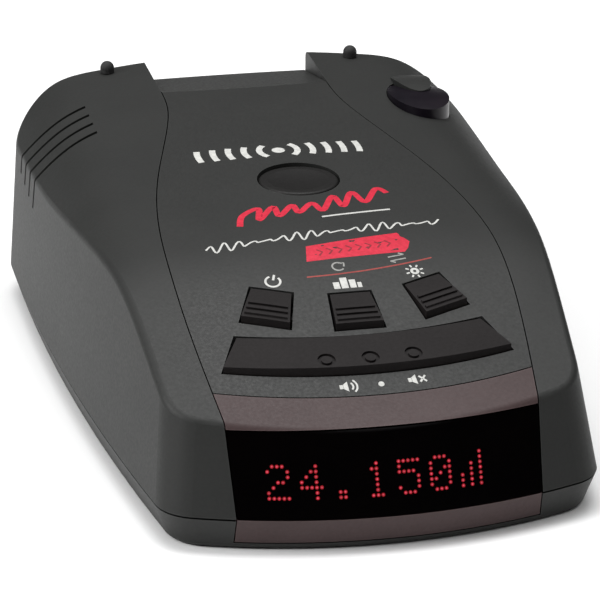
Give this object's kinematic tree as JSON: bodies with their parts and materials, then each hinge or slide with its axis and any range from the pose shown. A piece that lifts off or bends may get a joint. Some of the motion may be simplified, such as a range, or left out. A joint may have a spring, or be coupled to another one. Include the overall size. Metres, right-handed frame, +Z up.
{
  "type": "radar detector",
  "caption": "Windscreen radar detector with a bowed black dot-matrix window, ribbed keys, a long volume bar, a dished release button and a sprung bracket latch.",
  "frame": {"origin": "centre of the footprint, on the plane that the base rests on", "axes": "+Y from the display end to the antenna end, +Z up, +X to the right of someone facing the display"},
  "size_m": [0.0748, 0.117, 0.0345],
  "materials": {
    "casing": "fine moulded texture, dark warm grey",
    "panel": "fine moulded texture, dark warm grey",
    "trim": "satin taupe",
    "window": "polished, smoked black",
    "lens": "polished, near-black infrared filter",
    "peg_rubber": "matte",
    "label": "blank silver-grey film",
    "screw_steel": "black zinc",
    "key_plastic": "satin charcoal",
    "button_plastic": "satin charcoal",
    "latch_plastic": "plain",
    "spring_steel": "bright drawn wire",
    "channel_plastic": "plain",
    "board_laminate": "green solder mask",
    "switch_black": "plain",
    "module_black": "plain",
    "chip_black": "moulded epoxy",
    "capacitor_sleeve": "shrink sleeve",
    "diecast": "as die-cast",
    "tinplate": "tin plated",
    "diode_lens": "dark filter resin",
    "cone_paper": "coated paper",
    "magnet": "ferrite, ground",
    "socket_black": "plain",
    "stem_plastic": "plain"
  },
  "bodies": {
    "casing": {"top_housing": "casing", "bottom_housing": "casing", "centre_panel": "panel", "upper_trim": "trim", "lower_trim": "trim", "display_window": "window", "rear_laser_lens": "lens", "front_laser_lens": "lens", "windscreen_pegs": "peg_rubber", "base_label": "label", "case_screws": "screw_steel", "bracket_channel": "channel_plastic", "main_board": "board_laminate", "board_screws": "screw_steel", "switch_bodies": "switch_black", "display_modules": "module_black", "display_board": "board_laminate", "light_sensor": "module_black", "board_header": "switch_black", "processor": "chip_black", "capacitors": "capacitor_sleeve", "antenna_horn": "diecast", "rf_board": "board_laminate", "rf_shield": "tinplate", "photodiodes": "diode_lens", "speaker_frame": "tinplate", "speaker_cone": "cone_paper", "speaker_magnet": "magnet", "power_jack": "socket_black", "phone_jack": "socket_black"},
    "release": {"release_button": "button_plastic", "latch_lug": "latch_plastic", "release_spring": "spring_steel"},
    "volume_bar": {"volume_bar": "key_plastic"},
    "power_key": {"power_key": "key_plastic"},
    "centre_key": {"centre_key": "key_plastic"},
    "brightness_key": {"brightness_key": "key_plastic"},
    "switch_stem_1": {"switch_stem_1": "stem_plastic"},
    "switch_stem_2": {"switch_stem_2": "stem_plastic"},
    "switch_stem_3": {"switch_stem_3": "stem_plastic"},
    "switch_stem_4": {"switch_stem_4": "stem_plastic"},
    "switch_stem_5": {"switch_stem_5": "stem_plastic"}
  },
  "joints": [
    {"name": "power_key_press", "type": "hinge", "parent": "casing", "child": "power_key", "pos_m": [-0.01125, -0.0293, 0.02258], "axis": [0.9444, -0.3289, 0], "range_deg": [0, 4], "stiffness_Nm_per_rad": 0.09, "springref_deg": -1.15},
    {"name": "centre_key_press", "type": "hinge", "parent": "casing", "child": "centre_key", "pos_m": [0, -0.0312, 0.02203], "axis": [1, 0, 0], "range_deg": [0, 4], "stiffness_Nm_per_rad": 0.09, "springref_deg": -1.15},
    {"name": "brightness_key_press", "type": "hinge", "parent": "casing", "child": "brightness_key", "pos_m": [0.01125, -0.0293, 0.02258], "axis": [0.9444, 0.3289, 0], "range_deg": [0, 4], "stiffness_Nm_per_rad": 0.09, "springref_deg": -1.15},
    {"name": "volume_bar_press", "type": "hinge", "parent": "casing", "child": "volume_bar", "pos_m": [0, -0.0384, 0.01833], "axis": [1, 0, 0], "range_deg": [0, 4], "stiffness_Nm_per_rad": 0.15, "springref_deg": -1.15},
    {"name": "switch_stem_1_press", "type": "slide", "parent": "casing", "child": "switch_stem_1", "axis": [0, 0, -1], "range_m": [0, 0.000243]},
    {"name": "switch_stem_2_press", "type": "slide", "parent": "casing", "child": "switch_stem_2", "axis": [0, 0, -1], "range_m": [0, 0.000243]},
    {"name": "switch_stem_3_press", "type": "slide", "parent": "casing", "child": "switch_stem_3", "axis": [0, 0, -1], "range_m": [0, 0.000243]},
    {"name": "switch_stem_4_press", "type": "slide", "parent": "casing", "child": "switch_stem_4", "axis": [0, 0, -1], "range_m": [0, 0.000215]},
    {"name": "switch_stem_5_press", "type": "slide", "parent": "casing", "child": "switch_stem_5", "axis": [0, 0, -1], "range_m": [0, 0.000215]},
    {"name": "release_press", "type": "slide", "parent": "casing", "child": "release", "axis": [0, 0, -1], "range_m": [0, 0.0013], "stiffness_N_per_m": 600, "springref_m": -0.003, "deforming": ["release_spring"]}
  ],
  "couplings": [
    {"joint": "switch_stem_1_press", "follows": "power_key_press", "m_per_rad": 0.0032},
    {"joint": "switch_stem_2_press", "follows": "centre_key_press", "m_per_rad": 0.0032},
    {"joint": "switch_stem_3_press", "follows": "brightness_key_press", "m_per_rad": 0.0032},
    {"joint": "switch_stem_4_press", "follows": "volume_bar_press", "m_per_rad": 0.0028},
    {"joint": "switch_stem_5_press", "follows": "volume_bar_press", "m_per_rad": 0.0028}
  ]
}
